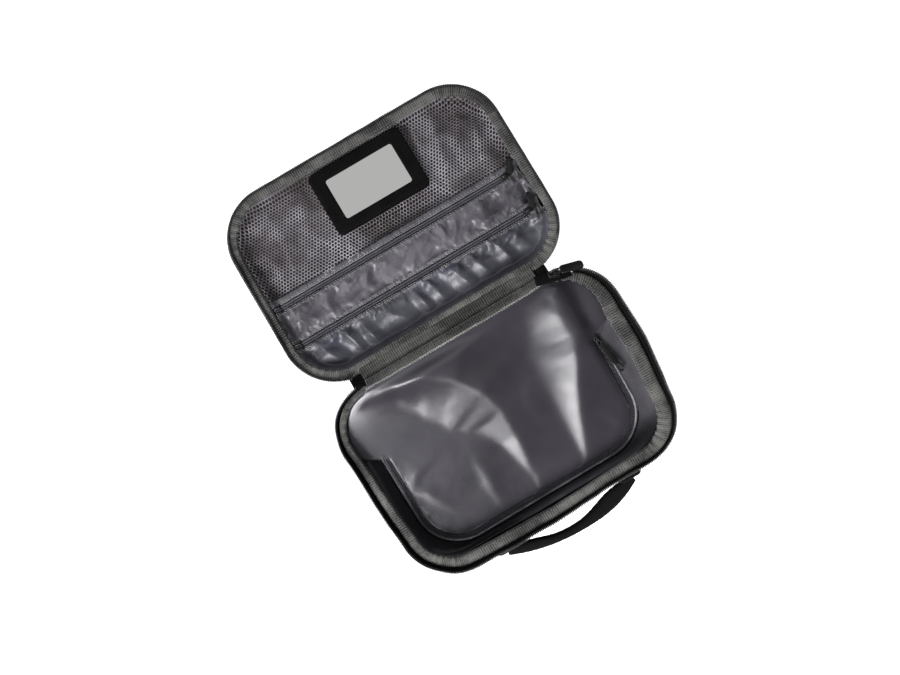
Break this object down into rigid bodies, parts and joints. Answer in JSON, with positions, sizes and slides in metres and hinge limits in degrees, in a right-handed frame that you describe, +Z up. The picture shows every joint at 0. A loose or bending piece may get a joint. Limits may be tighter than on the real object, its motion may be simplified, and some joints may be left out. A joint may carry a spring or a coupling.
{
  "type": "zip-around travel case",
  "caption": "Soft black zip-around travel case lying open: deep base tray with a zipped divider and carry handle, shallow lid with mesh and zipped pockets and a mirror.",
  "frame": {"origin": "centre of the open case's bounding box in X and Y, on the surface it stands on", "axes": "+X along the hinge, towards the end where the outer zip's slider is parked; +Y from the carry handle to the lid; +Z up"},
  "size_m": [0.2568, 0.386, 0.0717],
  "materials": {
    "outer_fabric": "woven polyester, matt",
    "foam": "closed-cell foam sheet",
    "board": "semi-rigid sheet",
    "lining": "coated nylon, satin",
    "divider_fabric": "coated nylon, glossy",
    "binding": "ribbed grosgrain tape",
    "zip_tape": "woven zip tape",
    "zip_coil": "moulded nylon coil",
    "slider_metal": "black lacquer, satin",
    "puller": "soft moulded tab",
    "mesh": "knitted mesh with round holes",
    "frame_leather": "imitation leather, fine grain",
    "mirror": "silvered acrylic",
    "handle_fabric": "webbing over padding"
  },
  "bodies": {
    "base": {"base_shell": "outer_fabric", "base_foam": "foam", "base_board": "board", "base_lining": "lining", "base_binding": "binding", "base_zip_tape": "zip_tape", "base_zip_coil": "zip_coil", "main_slider": "slider_metal", "divider_panel": "divider_fabric", "divider_zip_tape": "zip_tape", "divider_zip_coil": "zip_coil", "handle_anchor_left": "handle_fabric", "handle_anchor_right": "handle_fabric"},
    "hinge_strip": {"hinge_web": "outer_fabric", "hinge_lining": "lining"},
    "lid": {"lid_shell": "outer_fabric", "lid_foam": "foam", "lid_board": "board", "lid_lining": "lining", "lid_binding": "binding", "lid_zip_tape": "zip_tape", "lid_zip_coil": "zip_coil", "mesh_pocket": "mesh", "middle_pocket_panel": "lining", "lower_lining_panel": "lining", "upper_zip_tape_near": "zip_tape", "upper_zip_tape_far": "zip_tape", "upper_zip_coil_near": "zip_coil", "upper_zip_coil_far": "zip_coil", "lower_zip_tape_near": "zip_tape", "lower_zip_tape_far": "zip_tape", "lower_zip_coil_near": "zip_coil", "lower_zip_coil_far": "zip_coil", "mirror_backing": "frame_leather", "mirror_frame": "frame_leather", "mirror_glass": "mirror"},
    "flap": {"divider_flap": "divider_fabric", "flap_zip_tape": "zip_tape", "flap_zip_coil": "zip_coil"},
    "divider_slider": {"divider_slider": "slider_metal"},
    "divider_puller": {"divider_puller": "puller"},
    "upper_slider": {"upper_slider": "slider_metal"},
    "upper_puller": {"upper_puller": "puller"},
    "lower_slider": {"lower_slider": "slider_metal"},
    "lower_puller": {"lower_puller": "puller"},
    "main_puller": {"main_puller": "puller"},
    "handle": {"handle_grip": "handle_fabric"}
  },
  "joints": [
    {"name": "hinge_fold", "type": "hinge", "parent": "base", "child": "hinge_strip", "pos_m": [0, 0.00488, 0.06], "axis": [1, 0, 0], "range_deg": [0, 135]},
    {"name": "lid_fold", "type": "hinge", "parent": "hinge_strip", "child": "lid", "pos_m": [0, 0.01619, 0.04869], "axis": [1, 0, 0], "range_deg": [0, 53.65]},
    {"name": "flap_hinge", "type": "hinge", "parent": "base", "child": "flap", "pos_m": [0, -0.07452, 0.04096], "axis": [1, 0, 0], "range_deg": [-100, 0]},
    {"name": "divider_zip", "type": "slide", "parent": "base", "child": "divider_slider", "axis": [0, -0.9888, -0.1495], "range_m": [0, 0.052]},
    {"name": "divider_puller_lift", "type": "hinge", "parent": "divider_slider", "child": "divider_puller", "pos_m": [0.1, -0.06005, 0.04594], "axis": [1, 0, 0], "range_deg": [-120, 0]},
    {"name": "upper_zip", "type": "slide", "parent": "lid", "child": "upper_slider", "axis": [1, 0, 0], "range_m": [-0.208, 0]},
    {"name": "upper_puller_lift", "type": "hinge", "parent": "upper_slider", "child": "upper_puller", "pos_m": [0.104, 0.09515, 0.03314], "axis": [0, 0.9886, -0.1504], "range_deg": [-120, 0]},
    {"name": "lower_zip", "type": "slide", "parent": "lid", "child": "lower_slider", "axis": [1, 0, 0], "range_m": [-0.21, 0]},
    {"name": "lower_puller_lift", "type": "hinge", "parent": "lower_slider", "child": "lower_puller", "pos_m": [0.106, 0.06055, 0.0384], "axis": [0, 0.9886, -0.1504], "range_deg": [-120, 0]},
    {"name": "main_puller_lift", "type": "hinge", "parent": "base", "child": "main_puller", "pos_m": [0.09432, 0.00746, 0.06914], "axis": [0.2241, 0.8365, -0.5], "range_deg": [-100, 0]},
    {"name": "handle_swing", "type": "hinge", "parent": "base", "child": "handle", "pos_m": [0.008, -0.17802, 0.033], "axis": [1, 0, 0], "range_deg": [-60, 60]}
  ],
  "couplings": [
    {"joint": "lid_fold", "follows": "hinge_fold", "ratio": 0.39739}
  ]
}
